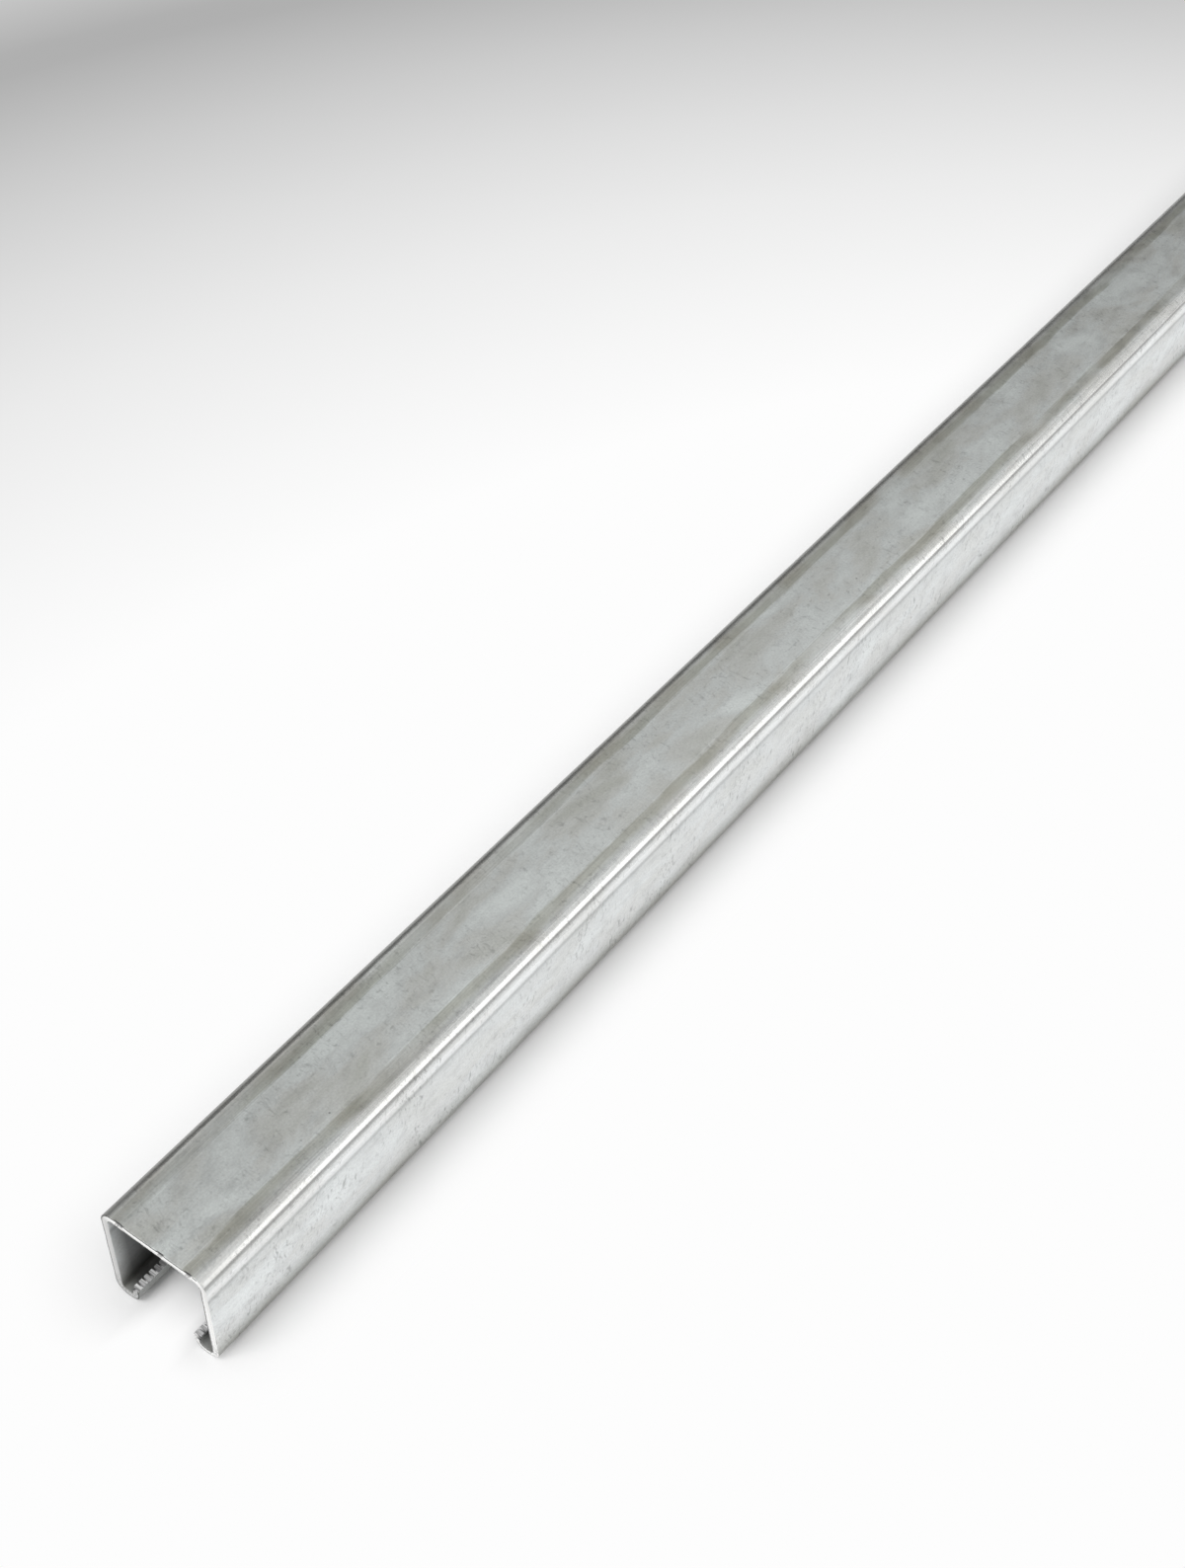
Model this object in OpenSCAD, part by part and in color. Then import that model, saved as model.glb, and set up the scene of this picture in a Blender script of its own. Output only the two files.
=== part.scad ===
// Strut channel: one length of galvanised steel strip, roll-formed into an
// open box section. The flat web is on top, a flange stands at each side, and
// each flange turns in along the floor as a lip and then up into the channel.
// X runs along the length, and Z = 0 is the plane that the lips rest on.

/* [Length] */
// Length of the cut piece
channel_l = 1000; // [200:50:3000]

/* [Section] */
// Width across the outer faces of the two flanges
channel_w = 41.3; // [34:0.1:82]
// Height from the underside of the lips to the back of the web
channel_h = 41.3; // [20.6:0.1:82]
// Thickness of the steel strip
strip_t = 2.5; // [1.2:0.1:3]
// Clear width of the slot between the two lips
slot_w = 22.2; // [14:0.1:24]
// Height of the in-turned edge of each lip
edge_h = 6.5; // [5:0.1:12]

/* [Bends] */
// Outer radius of the two bends beside the web
web_bend_r = 5; // [3:0.1:8]
// Outer radius of the bends at both sides of each lip
lip_bend_r = 4; // [3:0.1:4.5]

/* [Hidden] */

$fn = 96;
// Width of one lip, from the flange's outer face to the slot
lip_w = (channel_w - slot_w) / 2;
// Most of a lip's width that one of its two bends can take
lip_bend_share = 0.45;
lip_r = min(lip_bend_r, lip_bend_share * lip_w);

// A quarter of a bent strip, curving from +Y down to +X about the origin
module strip_bend(outer_r) {
    difference() {
        intersection() {
            circle(r = outer_r);
            square(outer_r);
        }
        circle(r = outer_r - strip_t);
    }
}

// Half of the section at +X of the middle plane, drawn with the web on top
module half_section() {
    flange_x = channel_w / 2 - strip_t;
    edge_x = slot_w / 2;
    web_flat = channel_w / 2 - web_bend_r;

    // Web
    translate([0, channel_h - strip_t])
        square([web_flat, strip_t]);
    translate([web_flat, channel_h - web_bend_r])
        strip_bend(web_bend_r);
    // Flange
    translate([flange_x, lip_r])
        square([strip_t, channel_h - web_bend_r - lip_r]);
    // Lip, flat between its two bends
    translate([channel_w / 2 - lip_r, lip_r])
        mirror([0, 1])
            strip_bend(lip_r);
    translate([edge_x + lip_r, 0])
        square([lip_w - 2 * lip_r, strip_t]);
    translate([edge_x + lip_r, lip_r])
        rotate(180)
            strip_bend(lip_r);
    // In-turned edge
    translate([edge_x, lip_r])
        square([strip_t, edge_h - lip_r]);
}

module channel() {
    color([0.70, 0.72, 0.72])
        translate([-channel_l / 2, 0, 0])
            rotate([90, 0, 90])
                linear_extrude(height = channel_l)
                    union() {
                        half_section();
                        mirror([1, 0])
                            half_section();
                    }
}

channel();
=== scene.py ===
import math

import bmesh
import bpy
from mathutils import Matrix, Vector, noise


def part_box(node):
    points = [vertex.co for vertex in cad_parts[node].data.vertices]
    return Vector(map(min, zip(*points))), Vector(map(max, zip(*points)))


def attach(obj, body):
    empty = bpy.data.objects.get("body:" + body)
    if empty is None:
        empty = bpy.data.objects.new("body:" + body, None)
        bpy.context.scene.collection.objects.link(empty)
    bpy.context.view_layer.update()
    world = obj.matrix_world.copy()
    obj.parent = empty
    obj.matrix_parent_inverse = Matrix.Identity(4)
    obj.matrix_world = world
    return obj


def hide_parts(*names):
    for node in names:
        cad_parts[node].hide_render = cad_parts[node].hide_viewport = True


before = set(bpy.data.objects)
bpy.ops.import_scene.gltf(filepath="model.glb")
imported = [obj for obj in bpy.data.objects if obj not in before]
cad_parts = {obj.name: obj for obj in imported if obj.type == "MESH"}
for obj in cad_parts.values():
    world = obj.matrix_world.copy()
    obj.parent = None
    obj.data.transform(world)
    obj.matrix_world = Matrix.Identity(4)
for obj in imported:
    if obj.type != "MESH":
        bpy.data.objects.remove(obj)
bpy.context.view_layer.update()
scene = bpy.context.scene


# ------------------------------------------------------------ Channel stock
# One strip of hot-dip galvanised steel, roll-formed cold: a web on top, a flange down each
# side, and each edge turned in and up again as a toothed lip. It is drawn as it is made: a
# sheet, bent, then given its thickness.

low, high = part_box("channel")
length = high.x - low.x
half_width = (high.y - low.y) / 2
height = high.z - low.z
strip_thickness = 0.0025
slot_half = 0.0111
lip_top = 0.0065
web_bend = 0.005
lip_bend = 0.004
bend_facets = 12
hair = 1e-5


def along(mesh, test):
    """Edges that run along the channel where test(y, z) is true of their middle."""
    found = []
    for edge in mesh.edges:
        start, end = (v.co for v in edge.verts)
        middle = (start + end) / 2
        if abs(start.x - end.x) > (start - end).length * 0.99 and test(middle.y, middle.z):
            found.append(edge)
    return found


def walk_section(first):
    """Vertices of the section line in order, from the strip's edge at first to its other edge."""
    line = [first]
    while True:
        ahead = [edge.other_vert(line[-1]) for edge in line[-1].link_edges]
        ahead = [v for v in ahead if abs(v.co.x - first.co.x) < hair and v not in line[-2:]]
        if not ahead:
            return line
        line.append(ahead[0])


strip = bmesh.new()
across = strip.verts.layers.float.new("across")
depth = strip.verts.layers.float.new("depth")
chipped = strip.verts.layers.float.new("chipped")
outline = [(slot_half, lip_top), (slot_half, 0), (half_width, 0), (half_width, height)]
outline += [(-y, z) for y, z in reversed(outline)]
corners = [strip.verts.new((low.x, y, z)) for y, z in outline]
folds = [strip.edges.new(pair) for pair in zip(corners, corners[1:])]
pulled = bmesh.ops.extrude_edge_only(strip, edges=folds)["geom"]
pulled = [v for v in pulled if isinstance(v, bmesh.types.BMVert)]
bmesh.ops.translate(strip, verts=pulled, vec=(length, 0, 0))

# The six bends
for radius, level in ((web_bend, height), (lip_bend, 0)):
    bmesh.ops.bevel(strip, geom=along(strip, lambda y, z: abs(z - level) < hair),
                    offset=radius, offset_type="OFFSET", affect="EDGES",
                    segments=bend_facets, profile=0.5, material=-1)
bmesh.ops.recalc_face_normals(strip, faces=strip.faces)
if max(strip.faces, key=lambda f: f.calc_center_median().z).normal.z < 0:
    bmesh.ops.reverse_faces(strip, faces=strip.faces)

# Each point's place across the strip, from the middle of the web, positive towards -Y
for end_x in (low.x, high.x):
    slit_edge = Vector((end_x, slot_half, lip_top))
    line = walk_section(min(strip.verts, key=lambda v: (v.co - slit_edge).length))
    steps = [(b.co - a.co).length for a, b in zip(line, line[1:])]
    for i, v in enumerate(line):
        v[across] = sum(steps[:i]) - sum(steps) / 2
strip_half = sum(steps) / 2

# Columns 1 mm wide in the web and 2 mm in the flanges, then panels along the length, each as
# long as four teeth
web_columns = 32
flange_columns = 16
narrowest_flat = 0.02
tooth_count = 480
teeth_per_panel = 4
for columns, on_flat in ((web_columns, lambda c: c.z > height - hair),
                         (flange_columns, lambda c: abs(c.y) > half_width - hair)):
    wide = [e for e in strip.edges
            if e.calc_length() > narrowest_flat and abs(e.verts[0].co.x - e.verts[1].co.x) < hair
            and all(on_flat(v.co) for v in e.verts)]
    bmesh.ops.subdivide_edges(strip, edges=wide, cuts=columns - 1, use_grid_fill=True)
bmesh.ops.subdivide_edges(strip, edges=along(strip, lambda y, z: True),
                          cuts=tooth_count // teeth_per_panel - 1, use_grid_fill=True)

# The rollers leave two shallow lines beside each upper bend, and the flats are not quite true
crease_places = (0.0215, 0.0275)
crease_half_width = 0.0003
crease_depth = 0.00006
sway = 0.00008
sway_length = 0.045
sway_width = 0.016
flat_reach = 0.052
flat_fade = 0.006
strip.normal_update()
moves = {}
for v in strip.verts:
    reach = abs(v[across])
    dip = sum(crease_depth for place in crease_places if abs(reach - place) < crease_half_width)
    if reach < flat_reach:
        wave = noise.noise(Vector((v.co.x / sway_length, v[across] / sway_width, 0)))
        dip += sway * (0.5 + 0.5 * wave) * min(1, (flat_reach - reach) / flat_fade)
    moves[v] = v.normal * -dip
for v, move in moves.items():
    v.co += move

inner = bmesh.ops.solidify(strip, geom=strip.faces, thickness=strip_thickness)["geom"]
for v in inner:
    if isinstance(v, bmesh.types.BMVert):
        v[depth] = 1

# Teeth: the slot side of each lip's top is eased and a line is drawn along the top. From that
# line to the cavity side each tooth gets four points, and the first two, the notch, go down.
points_per_tooth = 4
slid_along = (0, 0.05, -0.12, 0.15)
notch_depth = 0.0013
notch_reach = 0.00175
eased = 0.0003
cavity_side = slot_half + strip_thickness
crest = cavity_side - notch_reach
slot_arrises = along(strip, lambda y, z: abs(z - lip_top) < hair and abs(y) < slot_half + hair)
bmesh.ops.bevel(strip, geom=slot_arrises, offset=eased, offset_type="OFFSET", affect="EDGES",
                segments=2, profile=0.5, material=-1)
for side in (1, -1):
    top = [f for f in strip.faces
           if f.normal.z > 0.9 and abs(f.calc_center_median().z - lip_top) < hair
           and f.calc_center_median().y * side > 0]
    top_parts = top + [part for f in top for part in (*f.edges, *f.verts)]
    bmesh.ops.bisect_plane(strip, geom=list(dict.fromkeys(top_parts)),
                           plane_co=(0, side * crest, 0), plane_no=(0, 1, 0))
crest_lines = along(strip, lambda y, z: abs(z - lip_top) < hair and abs(y) > crest - hair)
bmesh.ops.subdivide_edges(strip, edges=crest_lines, cuts=teeth_per_panel * points_per_tooth - 1,
                          use_grid_fill=True)
tooth_pitch = length / tooth_count
for v in strip.verts:
    if abs(v.co.z - lip_top) < hair and abs(v.co.y) > crest - hair:
        point = round((v.co.x - low.x) / tooth_pitch * points_per_tooth) % points_per_tooth
        v.co.x += slid_along[point] * tooth_pitch
        if point < 2 and abs(abs(v.co.y) - cavity_side) < hair:
            v.co.z -= notch_depth
            v[chipped] = 1

# Sheared ends: three close rings hold the shape, the cut wanders a little, the web's outer
# edge is chipped in three places, and a fine bevel breaks the rim. A chip is its place in y,
# turned round at the far end, and half its width.
chips = ((0.0128, 0.0016), (-0.0035, 0.0010), (-0.0143, 0.0010))
chip_depth = 0.0006
chip_height = 0.0003
rings = (0.0022, 0.0011, 0.0005)
cut_sway = 0.00015
sways_per_metre = 260
rim = 0.00012
for end_x, inwards in ((low.x, 1), (high.x, -1)):
    for ring in rings:
        bmesh.ops.bisect_plane(strip, geom=strip.verts[:] + strip.edges[:] + strip.faces[:],
                               plane_co=(end_x + inwards * ring, 0, 0), plane_no=(1, 0, 0))
    for v in strip.verts:
        if abs(v.co.x - end_x) < hair:
            v.co.x += inwards * cut_sway * (0.5 + 0.5 * noise.noise(v.co * sways_per_metre))
            if v[depth] < 0.5 and v.co.z > height - chip_height:
                for middle, half in chips:
                    bite = max(0, 1 - ((v.co.y * inwards - middle) / half) ** 2)
                    v.co.x += inwards * chip_depth * bite
                    v.co.z -= chip_depth * bite
                    v[chipped] = max(v[chipped], min(1, 2 * bite))
    cut = [f for f in strip.faces
           if f.normal.x * inwards < -0.6 and abs(f.calc_center_median().x - end_x) < rings[-1]]
    for f in cut:
        f.material_index = 1
    edge_of_cut = [e for e in dict.fromkeys(e for f in cut for e in f.edges)
                   if sum(f in cut for f in e.link_faces) == 1]
    bmesh.ops.bevel(strip, geom=edge_of_cut, offset=rim, offset_type="OFFSET", affect="EDGES",
                    segments=2, profile=0.5, material=-1)

# Where the fine bevel meets a chip it doubles some points and overshoots their layer. Merging
# keeps the layers of one point out of each group, and at a few points within 1 mm of the ends
# which one it keeps changes from run to run.
bmesh.ops.remove_doubles(strip, verts=strip.verts, dist=hair)
for v in strip.verts:
    v[chipped] = min(1, abs(v[chipped]))

mesh = bpy.data.meshes.new("channel_stock")
strip.to_mesh(mesh)
strip.free()
mesh.set_sharp_from_angle(angle=math.radians(35))
channel = bpy.data.objects.new("channel_stock", mesh)
scene.collection.objects.link(channel)


def linear(colour):
    """An sRGB hex colour, or a plain grey level, as the linear values that a shader takes."""
    if not isinstance(colour, str):
        return (colour, colour, colour, 1)
    parts = [int(colour[i:i + 2], 16) / 255 for i in (1, 3, 5)]
    return [c / 12.92 if c <= 0.04045 else ((c + 0.055) / 1.055) ** 2.4 for c in parts] + [1]


def add(tree, kind, inputs=None, stops=None, **settings):
    """Adds a node with its settings and colour stops, and fills each input with a value or a link."""
    node = tree.nodes.new("ShaderNode" + kind)
    for name, value in settings.items():
        setattr(node, name, value)
    for socket, value in (inputs or {}).items():
        if isinstance(socket, str):
            socket = next(i for i, s in enumerate(node.inputs) if s.name == socket and s.enabled)
        if isinstance(value, bpy.types.Node):
            value = next(out for out in value.outputs if out.enabled)
        if isinstance(value, bpy.types.NodeSocket):
            tree.links.new(value, node.inputs[socket])
        else:
            node.inputs[socket].default_value = value
    if stops:
        elements = node.color_ramp.elements
        while len(elements) < len(stops):
            elements.new(0.5)
        for element, (place, colour) in zip(elements, stops):
            element.position = place
            element.color = linear(colour)
    return node


# Hot-dip zinc on rolled steel, dulled by handling and rubbed by the forming rollers: a soft
# grey mirror with cloudy patches, an olive-grey band where each roller ran, and brighter bends.
# Its tone also carries painted shade and painted reflections on the bends, down the flanges,
# inside, in the notches and in the chips
zinc = bpy.data.materials.new("hot_dip_zinc")
zinc.use_nodes = True
tree = zinc.node_tree
tree.nodes.clear()
millimetre = 0.001
run = add(tree, "SeparateXYZ", {"Vector": add(tree, "TexCoord").outputs["Object"]}).outputs["X"]
over = add(tree, "Attribute", attribute_name="across").outputs["Fac"]
through = add(tree, "Attribute", attribute_name="depth").outputs["Fac"]
reach = add(tree, "Math", {0: over}, operation="ABSOLUTE")
reach_share = add(tree, "Math", {0: reach, 1: strip_half}, operation="DIVIDE")
over_share = add(tree, "MapRange", {"Value": over, "From Min": -strip_half, "From Max": strip_half})
flat = add(tree, "CombineXYZ", {"X": run, "Y": over})


def from_middle(tones_mm):
    """Colour stops for reach_share, from places in millimetres from the web's middle line."""
    return [(mm * millimetre / strip_half, tone) for mm, tone in tones_mm]


def edge_to_edge(tones_mm):
    """Colour stops for over_share, from places in millimetres, positive towards -Y."""
    return [(0.5 + 0.5 * place, tone) for place, tone in from_middle(tones_mm)]


# Clouds 16 mm wide and twice as long
drawn = add(tree, "Mapping", {"Vector": flat, "Scale": (0.45, 1, 1)})
clouds = add(tree, "TexNoise", {"Vector": drawn, "Scale": 1 / (16 * millimetre), "Detail": 4.0,
                                "Roughness": 0.55, "Distortion": 0.4})
cloud_tint = add(tree, "ValToRGB", {"Fac": clouds}, stops=(
    (0.32, "#DBDBD6"), (0.45, "#E9E9E7"), (0.53, "#EEF0F0"), (0.66, "#FBFEFE")))

# The tone of the skin across the strip. Part of it is painted light: a lighter band just
# below each upper bend is a painted reflection, and the flanges darken down into the lips
# with painted shade
flank_mm = ((22.2, "#DEDFDE"), (24.4, "#FCFDFD"), (26.2, "#F2F3F3"), (27.8, "#DBDDDD"),
            (30, "#E5E7E7"), (38, "#F0F2F2"), (49, "#EFF0F0"), (52.6, "#DADBD9"),
            (55.6, "#BEBEBA"), (57.8, "#9B9B97"), (61, "#A8A8A4"), (65, "#ADAEAC"))
bands_mm = [(-mm, colour) for mm, colour in reversed(flank_mm)]
# The +Y bend is darkened with painted shade, most near the flange
bands_mm += [(-20.8, "#7E7E7B"), (-18, "#9C9C99"), (-16.2, "#C8C8C5"), (-11.4, "#D6D8D6"),
             (11.5, "#E2E4E2"), (12.2, "#E8E9E7"), (16.4, "#E1E2E0"), (20.6, "#E8E8E6")]
bands_mm += flank_mm
bands = add(tree, "ValToRGB", {"Fac": over_share}, stops=edge_to_edge(bands_mm))

# Olive-grey tracks of the two web rollers, with edges that wander and a strength that fades
# in and out along the length
track_mm = ((0, "#FFFFFF"), (11.3, "#FFFFFF"), (12.2, "#DAD9D2"), (14.6, "#DBDAD3"),
            (16.8, "#FFFFFF"))
drawn = add(tree, "Mapping", {"Vector": flat, "Scale": (0.5, 1, 1)})
wander = add(tree, "TexNoise", {"Vector": drawn, "Scale": 1 / (18 * millimetre), "Detail": 4.0,
                                "Roughness": 0.55})
wander = add(tree, "MapRange", {"Value": wander, "From Min": 0.25, "From Max": 0.75,
                                "To Min": -1.1 * millimetre, "To Max": 1.1 * millimetre})
wandered = add(tree, "Math", {0: reach, 1: wander}, operation="ADD")
wandered = add(tree, "Math", {0: wandered, 1: strip_half}, operation="DIVIDE")
tracks = add(tree, "ValToRGB", {"Fac": wandered}, stops=from_middle(track_mm))
drawn = add(tree, "Mapping", {"Vector": flat, "Scale": (0.4, 1, 1)})
fading = add(tree, "TexNoise", {"Vector": drawn, "Scale": 1 / (24 * millimetre), "Detail": 2.0})
fading = add(tree, "MapRange", {"Value": fading, "From Min": 0.34, "From Max": 0.52,
                                "To Min": 0.15, "To Max": 1.0})
tracks = add(tree, "Mix", {"Factor": fading, "A": linear("#FFFFFF"), "B": tracks}, data_type="RGBA")

# Fine lines that the rollers drew beside the bends, half a millimetre apart and centimetres long
comb_mm = ((0, 0.1), (10, 0.15), (11.2, 0.8), (13, 0.4), (15.5, 0.5), (17.2, 1.0), (18.6, 0.5),
           (20.6, 0.3), (22, 0.35), (29, 0.15), (50, 0.1))
drawn = add(tree, "Mapping", {"Vector": flat, "Scale": (0.012, 1, 1)})
combed = add(tree, "TexNoise", {"Vector": drawn, "Scale": 1 / (0.5 * millimetre), "Detail": 2.0})
combed = add(tree, "MapRange", {"Value": combed, "From Min": 0.3, "From Max": 0.7,
                                "To Min": 0.82, "To Max": 1.18})
comb = add(tree, "ValToRGB", {"Fac": reach_share}, stops=from_middle(comb_mm))
combed = add(tree, "Mix", {"Factor": comb, "A": 1.0, "B": combed}, data_type="FLOAT")

# Thin dark lines beside the bends, at the creases that the rollers' shoulders press: the
# line below each upper bend is darkened as a painted dark reflection, and the line above
# each lip bend, where there is no crease, is painted shade
crease_and_shade_line_mm = ((0, 1.0), (20.4, 1.0), (20.9, 0.52), (21.4, 0.55), (22.2, 1.0), (26.4, 1.0),
           (27.3, 0.84), (28.2, 0.84), (29, 1.0), (54.4, 1.0), (55.6, 0.86), (56.2, 0.88),
           (57.4, 1.0))
crease_and_shade_lines = add(tree, "ValToRGB", {"Fac": reach_share}, stops=from_middle(crease_and_shade_line_mm))

# Mottle of 5 mm. The rubbed bends show less of it and of the clouds, and the flanges less of
# the clouds.
cloud_cover_mm = ((0, 1.0), (16, 1.0), (19, 0.4), (60, 0.5))
mottle_cover_mm = ((0, 1.0), (16, 1.0), (19, 0.4), (26, 0.5), (29, 1.0))
drawn = add(tree, "Mapping", {"Vector": flat, "Scale": (0.6, 1, 1)})
mottle = add(tree, "TexNoise", {"Vector": drawn, "Scale": 1 / (5 * millimetre), "Detail": 7.0,
                                "Roughness": 0.62})
mottle_tone = add(tree, "ValToRGB", {"Fac": mottle}, stops=((0.34, 0.88), (0.52, 1.0)))
patches = []
for layer, cover_mm in ((cloud_tint, cloud_cover_mm), (mottle_tone, mottle_cover_mm)):
    cover = add(tree, "ValToRGB", {"Fac": reach_share}, stops=from_middle(cover_mm))
    patches.append(add(tree, "Mix", {"Factor": cover, "A": linear("#FFFFFF"), "B": layer},
                       data_type="RGBA"))

# Handling marks about 0.7 mm wide and 1 to 4 mm long, most of them across the strip, in groups,
# fainter on the web. A slow distortion turns each a little its own way.
mark_mm = ((0, 0.6), (17, 0.6), (22, 1.0))
bent = add(tree, "TexNoise", {"Vector": flat, "Scale": 1 / (7 * millimetre), "Detail": 1.0})
bent = add(tree, "VectorMath", {0: bent.outputs["Color"], 1: (0.5, 0.5, 0.5)},
           operation="SUBTRACT")
bent = add(tree, "VectorMath", {0: bent, 1: (4 * millimetre,) * 3, 2: flat},
           operation="MULTIPLY_ADD")
groups = add(tree, "TexNoise", {"Vector": flat, "Scale": 1 / (22 * millimetre), "Detail": 3.0})
marked = 0.0
for angle, stretch, width, lowest, highest in ((78, 2.5, 1.4, 0.5, 0.66), (104, 4, 1.0, 0.46, 0.6),
                                               (92, 3.5, 1.7, 0.38, 0.56)):
    slant = add(tree, "Mapping", {"Vector": bent, "Rotation": (0, 0, math.radians(angle)),
                                  "Scale": (stretch, 1, 1)}, vector_type="TEXTURE")
    marks = add(tree, "TexNoise", {"Vector": slant, "Scale": 1 / (width * millimetre),
                                   "Detail": 2.0, "Distortion": 0.1})
    marks = add(tree, "MapRange", {"Value": marks, "From Min": 0.61, "From Max": 0.75})
    here = add(tree, "MapRange", {"Value": groups, "From Min": lowest, "From Max": highest})
    marks = add(tree, "Math", {0: marks, 1: here}, operation="MULTIPLY")
    marked = add(tree, "Math", {0: marks, 1: marked}, operation="MAXIMUM")
outside = add(tree, "Math", {0: 1.0, 1: through}, operation="SUBTRACT")
strength = add(tree, "ValToRGB", {"Fac": reach_share}, stops=from_middle(mark_mm))
marked = add(tree, "Math", {0: marked, 1: outside}, operation="MULTIPLY")
marked = add(tree, "Math", {0: marked, 1: strength}, operation="MULTIPLY")
mark_tone = add(tree, "MapRange", {"Value": marked, "To Min": 1.0, "To Max": 0.62})

# Pits and stains of 0.5 to 2 mm, in the same groups
pits = add(tree, "TexNoise", {"Vector": flat, "Scale": 1 / (2.6 * millimetre), "Detail": 4.0,
                              "Roughness": 0.65})
pits = add(tree, "MapRange", {"Value": pits, "From Min": 0.43, "From Max": 0.3})
here = add(tree, "MapRange", {"Value": groups, "From Min": 0.3, "From Max": 0.55, "To Min": 0.3})
pits = add(tree, "Math", {0: pits, 1: here}, operation="MULTIPLY")
pit_tone = add(tree, "MapRange", {"Value": pits, "To Min": 1.0, "To Max": 0.74})

# Grain: the real grit is too fine to show, so it is drawn as coarse as 0.8 mm
grain = add(tree, "TexNoise", {"Vector": flat, "Scale": 1 / (0.8 * millimetre), "Detail": 2.0})
grain_tone = add(tree, "MapRange", {"Value": grain, "From Min": 0.3, "From Max": 0.7,
                                    "To Min": 0.93, "To Max": 1.07})

# Specks of grit and bare pits, up to 1 mm across with their soft rims and 22 mm apart
specks = add(tree, "TexVoronoi", {"Vector": flat, "Scale": 1 / (22 * millimetre)})
speck_tone = add(tree, "ValToRGB", {"Fac": specks.outputs["Distance"]},
                 stops=((0.012, 0.5), (0.022, 1.0)))

tone = bands
for layer in (crease_and_shade_lines, tracks, combed, *patches, grain_tone, mark_tone, pit_tone, speck_tone):
    tone = add(tree, "Mix", {"Factor": 1.0, "A": tone, "B": layer}, data_type="RGBA",
               blend_type="MULTIPLY")

# Inside, the zinc is duller, and darkened with painted shade, most about 9 mm in from the ends
# and less deeper in; the last few millimetres at the cut are left light, a painted pool of light
# from the open end. All of it is weaker on the -Y side
inside_shade_mm = ((0, 0.95), (2.5, 0.62), (5, 0.3), (9, 0.22), (14, 0.24), (20, 0.42), (24, 0.5),
             (42, 0.8), (60, 0.85))
deepest_mm = inside_shade_mm[-1][0]
from_end = add(tree, "Math", {0: run}, operation="ABSOLUTE")
from_end = add(tree, "Math", {0: length / 2, 1: from_end}, operation="SUBTRACT")
near_end = add(tree, "MapRange", {"Value": from_end, "From Min": 24 * millimetre, "From Max": 0.0})
from_end = add(tree, "Math", {0: from_end, 1: deepest_mm * millimetre}, operation="DIVIDE")
painted_inside_shade = add(tree, "ValToRGB", {"Fac": from_end},
             stops=[(mm / deepest_mm, level) for mm, level in inside_shade_mm])
one_side = add(tree, "MapRange", {"Value": over, "From Min": -10 * millimetre,
                                  "From Max": 10 * millimetre})
inside_shade_share = add(tree, "Math", {0: one_side, 1: -0.4, 2: 1.0}, operation="MULTIPLY_ADD")
inside_shade_share = add(tree, "Math", {0: inside_shade_share, 1: through}, operation="MULTIPLY")
inside_shade_share = add(tree, "Mix", {"Factor": inside_shade_share, "A": linear("#FFFFFF"), "B": painted_inside_shade},
             data_type="RGBA")
tone = add(tree, "Mix", {"Factor": 1.0, "A": tone, "B": inside_shade_share}, data_type="RGBA",
           blend_type="MULTIPLY")

# The lips' stamped tops are bare and gritty; the notches and the chips are darkened with
# painted shade
top_edge = add(tree, "MapRange", {"Value": reach, "From Min": strip_half - 0.6 * millimetre,
                                  "From Max": strip_half - 0.2 * millimetre})
grime = add(tree, "MapRange", {"Value": grain, "From Min": 0.38, "From Max": 0.62,
                               "To Min": 0.3, "To Max": 0.95})
grime = add(tree, "Math", {0: one_side, 1: 0.3, 2: grime}, operation="MULTIPLY_ADD",
            use_clamp=True)
tone = add(tree, "Mix", {"Factor": top_edge, "A": tone, "B": grime}, data_type="RGBA")
# Painted shade in the notches and the chips
painted_hollow_shade = add(tree, "Attribute", attribute_name="chipped").outputs["Fac"]
painted_hollow_shade = add(tree, "MapRange", {"Value": painted_hollow_shade, "From Min": 0.2, "From Max": 0.8,
                                "To Min": 1.0, "To Max": 0.3})
tone = add(tree, "Mix", {"Factor": 1.0, "A": tone, "B": painted_hollow_shade}, data_type="RGBA",
           blend_type="MULTIPLY")

# Rubbed bends are smoother than the flats; the inside, the lips' tops and the zinc beside the
# cut ends are rougher
polish_mm = ((0, 0.36), (11, 0.36), (13, 0.32), (16, 0.30), (18, 0.23), (20.6, 0.2), (23, 0.28),
             (27, 0.36), (50, 0.36), (60, 0.36))
roughness = add(tree, "ValToRGB", {"Fac": reach_share}, stops=from_middle(polish_mm))
uneven = add(tree, "MapRange", {"Value": mottle, "From Min": 0.3, "From Max": 0.7,
                                "To Min": -0.05, "To Max": 0.07})
roughness = add(tree, "Math", {0: roughness, 1: uneven}, operation="ADD")
for place, more in ((through, 0.06), (top_edge, 0.25), (near_end, 0.14)):
    roughness = add(tree, "Math", {0: place, 1: more, 2: roughness}, operation="MULTIPLY_ADD")

# Relief in millimetres: dents a centimetre across, ripples of 2 mm, grain, marks and pits
dents = add(tree, "TexNoise", {"Vector": flat, "Scale": 1 / (9 * millimetre), "Detail": 1.0})
ripples = add(tree, "TexNoise", {"Vector": flat, "Scale": 1 / (2.2 * millimetre), "Detail": 1.5})
relief = 0.0
for shape, deep in ((dents, 0.05), (ripples, 0.012), (grain, 0.02), (marked, -0.01), (pits, -0.012)):
    relief = add(tree, "Math", {0: shape, 1: deep, 2: relief}, operation="MULTIPLY_ADD")
bumped = add(tree, "Bump", {"Height": relief, "Strength": 1.0, "Distance": millimetre})

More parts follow.
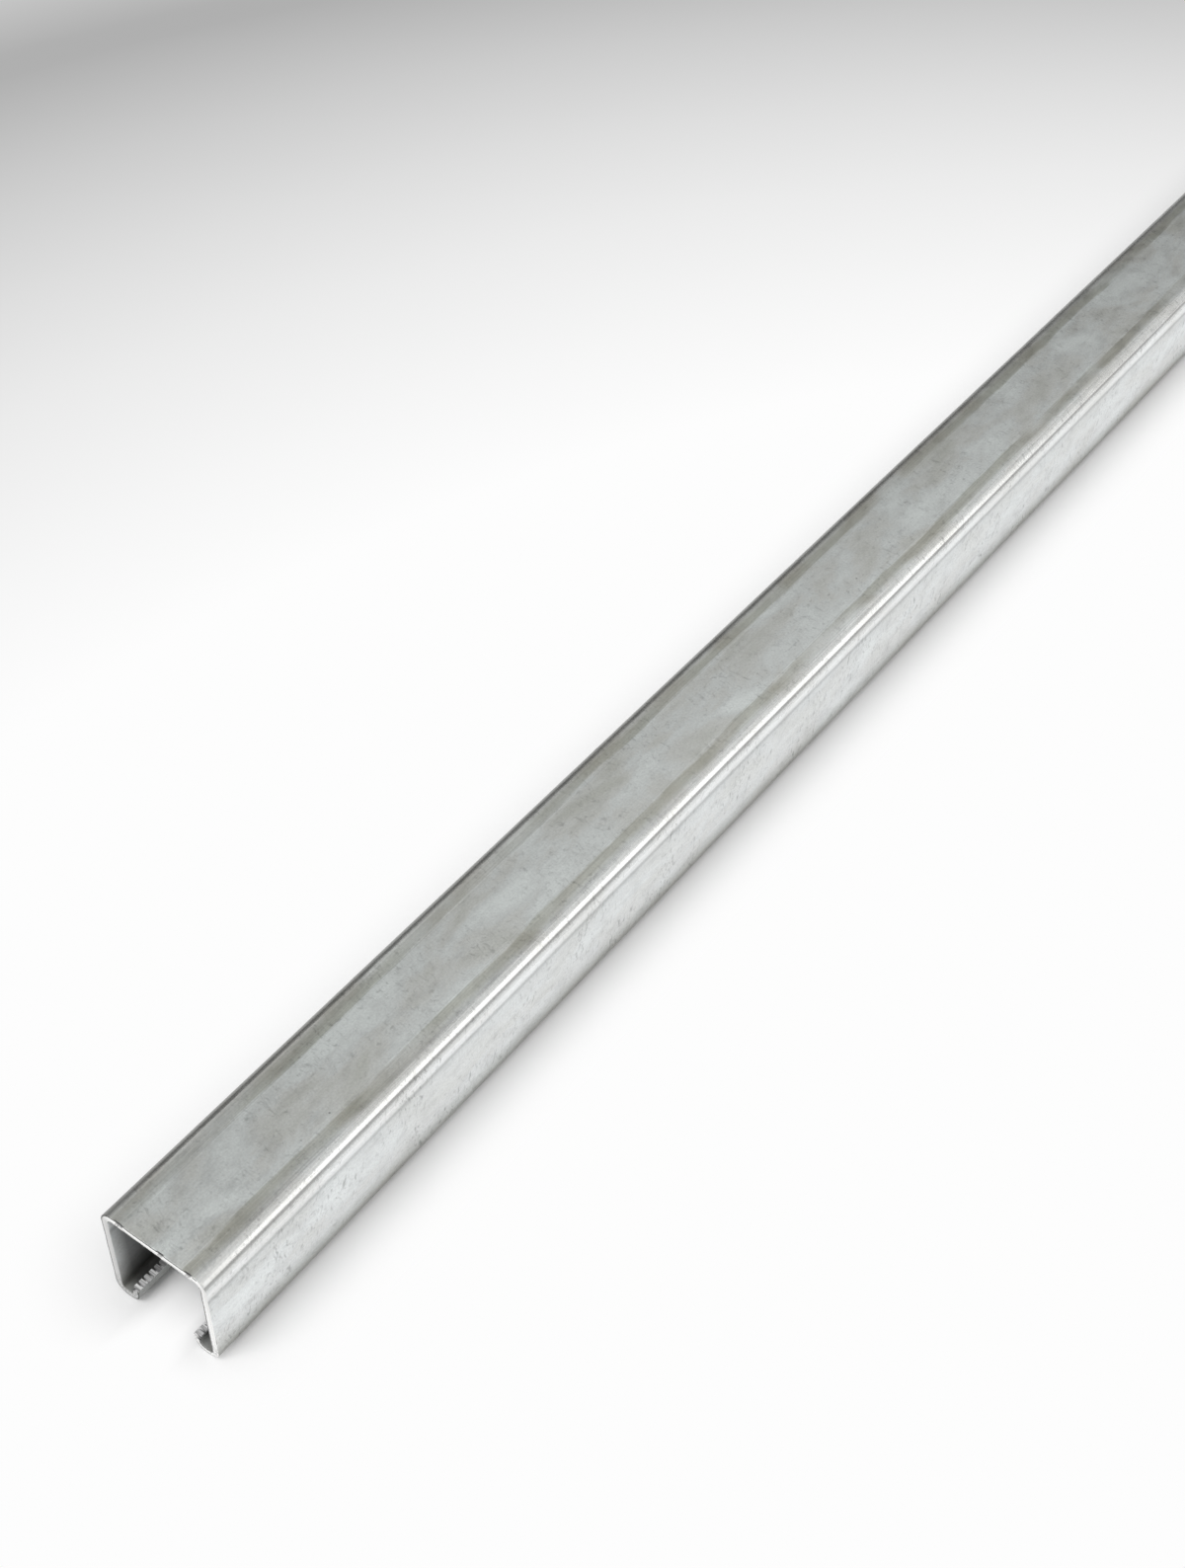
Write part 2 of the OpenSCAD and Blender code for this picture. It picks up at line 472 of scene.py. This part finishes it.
# Inside and on the stamped tops the zinc has weathered to a matt film, less like bare metal
matt = add(tree, "Math", {0: through, 1: top_edge}, operation="MAXIMUM")
bare = add(tree, "MapRange", {"Value": matt, "To Min": 0.85, "To Max": 0.4})
skin = add(tree, "BsdfPrincipled", {"Metallic": bare, "Base Color": tone, "Roughness": roughness,
                                    "Normal": bumped})
add(tree, "OutputMaterial", {"Surface": skin})

# Steel sheared without any zinc: a bright edge along the web, greyer down the +Y flange and a
# little greyer at the top of the other, flecked on the lips, with a dark line along one rim, and
# painted shade in the hollows where the edge chipped
sheared = bpy.data.materials.new("sheared_steel_edge")
sheared.use_nodes = True
tree = sheared.node_tree
tree.nodes.clear()
through = add(tree, "Attribute", attribute_name="depth").outputs["Fac"]
chip = add(tree, "Attribute", attribute_name="chipped").outputs["Fac"]
over = add(tree, "Attribute", attribute_name="across").outputs["Fac"]
over_share = add(tree, "MapRange", {"Value": over, "From Min": -strip_half, "From Max": strip_half})
reach = add(tree, "Math", {0: over}, operation="ABSOLUTE")
grain = add(tree, "TexNoise", {"Vector": add(tree, "TexCoord").outputs["Object"],
                               "Scale": 1 / (0.8 * millimetre), "Detail": 3.0})

# The dark line is at the outer rim, except on the -Y flange, where it is at the inner one
web_side = add(tree, "MapRange", {"Value": over, "From Min": 17 * millimetre,
                                  "From Max": 21 * millimetre, "To Min": 1.0, "To Max": 0.0})
other_way = add(tree, "Math", {0: 1.0, 1: through}, operation="SUBTRACT")
from_rim = add(tree, "Mix", {"Factor": web_side, "A": other_way, "B": through}, data_type="FLOAT")
ragged = add(tree, "MapRange", {"Value": grain, "To Min": -0.12, "To Max": 0.12})
dark_rim_line = add(tree, "Math", {0: from_rim, 1: ragged}, operation="ADD")
tone = add(tree, "ValToRGB", {"Fac": dark_rim_line}, stops=(
    (0.1, "#3C3C3A"), (0.18, "#9C9C9A"), (0.26, "#FFFFFE"), (0.6, "#FFFFFE"), (0.7, "#F4F4F2"),
    (0.85, "#FCFCFA")))
brightness_mm = ((-22, 0.64), (-16, 1.0), (17, 1.0), (22, 0.82), (46, 1.0))
brightness = add(tree, "ValToRGB", {"Fac": over_share}, stops=edge_to_edge(brightness_mm))
# Painted shade in the chips' hollows
painted_hollow_shade = add(tree, "MapRange", {"Value": chip, "From Min": 0.2, "From Max": 0.7,
                                "To Min": 1.0, "To Max": 0.12})
lips = add(tree, "MapRange", {"Value": reach, "From Min": 50 * millimetre,
                              "From Max": 55 * millimetre})
flecks = add(tree, "MapRange", {"Value": grain, "From Min": 0.36, "From Max": 0.56,
                                "To Min": 0.55, "To Max": 1.0})
flecks = add(tree, "Mix", {"Factor": lips, "A": 1.0, "B": flecks}, data_type="FLOAT")
for layer in (brightness, painted_hollow_shade, flecks):
    tone = add(tree, "Mix", {"Factor": 1.0, "A": tone, "B": layer}, data_type="RGBA",
               blend_type="MULTIPLY")
bumped = add(tree, "Bump", {"Height": grain, "Strength": 1.0, "Distance": 0.02 * millimetre})
skin = add(tree, "BsdfPrincipled", {"Metallic": 1.0, "Base Color": tone, "Roughness": 0.2,
                                    "Normal": bumped})
add(tree, "OutputMaterial", {"Surface": skin})
mesh.materials.append(zinc)
mesh.materials.append(sheared)

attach(channel, "root")
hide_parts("channel")


# ------------------------------------------------------------------- Studio
# A white paper sweep on a table, a large softbox low on the -Y side that draws the long
# highlight down the bend, one overhead, and a grey room, darkest low down beyond +Y.

floor_mesh = bpy.data.meshes.new("floor")
paper_radius = 9
paper_top = -0.0001
disc = bmesh.new()
bmesh.ops.create_circle(disc, cap_ends=True, segments=96, radius=paper_radius)
bmesh.ops.translate(disc, verts=disc.verts, vec=(0, 0, paper_top))
disc.to_mesh(floor_mesh)
disc.free()
floor = bpy.data.objects.new("floor", floor_mesh)
scene.collection.objects.link(floor)
paper = bpy.data.materials.new("matt_white_paper")
paper.use_nodes = True
tree = paper.node_tree
tree.nodes.clear()

# Behind the channel the paper is greyed with painted shade, as if less light fell there: the
# white turns grey with the distance, in metres, from a point in front, and white again further
# back, all in one soft patch
place = add(tree, "TexCoord").outputs["Object"]
falloff = ((0.72, 1.0), (0.79, 0.94), (0.88, 0.85), (0.96, 0.745), (1.05, 0.61), (1.15, 0.44),
           (1.17, 0.44), (1.3, 0.72), (1.5, 1.0))
farthest = falloff[-1][0]
falloff_from = (-0.4, -0.5, 0)
patch_middle = (0.12, 0.38, 0)
distance = add(tree, "VectorMath", {0: place, 1: falloff_from}, operation="DISTANCE")
distance = add(tree, "Math", {0: distance.outputs["Value"], 1: farthest}, operation="DIVIDE")
painted_floor_shade = add(tree, "ValToRGB", {"Fac": distance},
               stops=[(metres / farthest, level) for metres, level in falloff])
patch = add(tree, "VectorMath", {0: place, 1: patch_middle}, operation="DISTANCE")
patch = add(tree, "MapRange", {"Value": patch.outputs["Value"], "From Min": 0.38,
                               "From Max": 0.8, "To Min": 1.0, "To Max": 0.0},
            interpolation_type="SMOOTHSTEP")
painted_floor_shade = add(tree, "Mix", {"Factor": patch, "A": linear("#FFFFFF"), "B": painted_floor_shade},
               data_type="RGBA")
tint = add(tree, "Mix", {"Factor": 1.0, "A": painted_floor_shade, "B": linear("#FAFAFA")}, data_type="RGBA",
           blend_type="MULTIPLY")
lit = add(tree, "BsdfPrincipled", {"Base Color": tint, "Roughness": 0.9, "Specular IOR Level": 0.2})

# Away from the channel, and just inside its open ends, the paper shows its plain tone without
# the room's shadows
plan = add(tree, "VectorMath", {0: place}, operation="ABSOLUTE")
mouth = add(tree, "MapRange", {"Value": add(tree, "SeparateXYZ", {"Vector": plan}).outputs["Y"],
                               "From Min": 0.005, "From Max": slot_half,
                               "To Min": length / 2 - 0.024, "To Max": length / 2 - 0.012})
footprint = add(tree, "CombineXYZ", {"X": mouth, "Y": half_width})
beyond = add(tree, "VectorMath", {0: plan, 1: footprint}, operation="SUBTRACT")
beyond = add(tree, "VectorMath", {0: beyond, 1: (0, 0, 0)}, operation="MAXIMUM")
beyond = add(tree, "VectorMath", {0: beyond}, operation="LENGTH").outputs["Value"]
behind = add(tree, "MapRange", {"Value": add(tree, "SeparateXYZ", {"Vector": place}).outputs["Y"],
                                "From Min": -half_width, "From Max": half_width,
                                "To Min": 1.0, "To Max": 0.6})
beyond = add(tree, "Math", {0: beyond, 1: behind}, operation="MULTIPLY")
away = add(tree, "MapRange", {"Value": beyond, "From Min": 0.002, "From Max": 0.024},
           interpolation_type="SMOOTHSTEP")
rays = add(tree, "LightPath").outputs
seen = add(tree, "Math", {0: rays["Is Camera Ray"], 1: rays["Is Glossy Ray"]}, operation="ADD")
seen = add(tree, "Math", {0: seen, 1: rays["Is Transmission Ray"]}, operation="ADD")
shown = add(tree, "Math", {0: seen, 1: away}, operation="MULTIPLY", use_clamp=True)
# The painted shade greys this plain tone too
glow = add(tree, "Mix", {"Factor": 1.0, "A": painted_floor_shade, "B": linear("#FDFDFD")}, data_type="RGBA",
           blend_type="MULTIPLY")
plain = add(tree, "Emission", {"Color": glow, "Strength": 1.0})
surface = add(tree, "MixShader", {0: shown, 1: lit, 2: plain})
add(tree, "OutputMaterial", {"Surface": surface})
floor_mesh.materials.append(paper)

# The room's light, from the horizon up to the ceiling, on the +Y side and on the -Y side
world = bpy.data.worlds.new("studio_room")
scene.world = world
world.use_nodes = True
tree = world.node_tree
tree.nodes.clear()
way = add(tree, "SeparateXYZ", {"Vector": add(tree, "TexCoord").outputs["Generated"]}).outputs
far_wall = add(tree, "ValToRGB", {"Fac": way["Z"]}, stops=(
    (0, 0.09), (0.25, 0.14), (0.56, 0.15), (0.62, 0.68), (0.71, 1.14), (0.79, 0.37), (0.87, 0.24),
    (1, 0.38)))
near_wall = add(tree, "ValToRGB", {"Fac": way["Z"]}, stops=(
    (0, 0.23), (0.1, 0.38), (0.5, 0.62), (0.8, 0.62), (1, 0.5)))
side = add(tree, "MapRange", {"Value": way["Y"], "From Min": -0.25, "From Max": 0.25})
walls = add(tree, "Mix", {"Factor": side, "A": near_wall, "B": far_wall}, data_type="RGBA")
room = add(tree, "Background", {"Color": walls, "Strength": 1.3})

# The paper rises behind the object as a white backdrop, which metal mirrors low on the horizon
rays = add(tree, "LightPath").outputs
low_down = add(tree, "MapRange", {"Value": way["Z"], "From Min": 0.05, "From Max": 0.1,
                                  "To Min": 1.0, "To Max": 0.0})
mirrored = add(tree, "Math", {0: rays["Is Glossy Ray"], 1: rays["Is Transmission Ray"]},
               operation="ADD")
mirrored = add(tree, "Math", {0: mirrored, 1: low_down}, operation="MULTIPLY")
seen = add(tree, "Math", {0: rays["Is Camera Ray"], 1: mirrored}, operation="ADD", use_clamp=True)
backdrop = add(tree, "Background", {"Color": linear("#FDFDFD"), "Strength": 1.0})
surface = add(tree, "MixShader", {0: seen, 1: room, 2: backdrop})
add(tree, "OutputWorld", {"Surface": surface})


def softbox(name, place, aim, size, radiance):
    """A flat lamp of one radiance, turned to face a point."""
    lamp = bpy.data.lights.new(name, "AREA")
    lamp.shape = "RECTANGLE"
    lamp.size, lamp.size_y = size
    lamp.energy = radiance * size[0] * size[1] * math.pi
    box = bpy.data.objects.new(name, lamp)
    box.location = place
    box.rotation_euler = (Vector(aim) - Vector(place)).to_track_quat("-Z", "Y").to_euler()
    box.visible_camera = False
    scene.collection.objects.link(box)


softbox("side_softbox", (1.3, -2.3, 0.85), (0.5, 0, 0), (2.2, 1.5), 1.0)
softbox("overhead_softbox", (-1.9, 0.4, 2.6), (-0.2, 0, 0), (1.5, 1.5), 5.3)


# ------------------------------------------------------------------- Camera
# It stands 0.2 m before the near end and 0.3 m out on the -Y side, and looks down across the
# web at 46 degrees, rolled one and a half.
camera = bpy.data.objects.new("camera", bpy.data.cameras.new("camera"))
scene.collection.objects.link(camera)
scene.camera = camera
camera.data.lens = 50.74
camera.data.sensor_width = 36
camera.data.clip_start = 0.01
stand = Vector((-0.7035, -0.2933, 0.5797))
forward = Vector((0.56652, 0.40378, -0.71834))
right = Vector((0.59504, -0.80350, 0.01763))
up = right.cross(forward)
turn = Matrix((right, up, -forward)).transposed().to_4x4()
camera.matrix_world = Matrix.Translation(stand) @ turn
scene.view_settings.view_transform = "Standard"
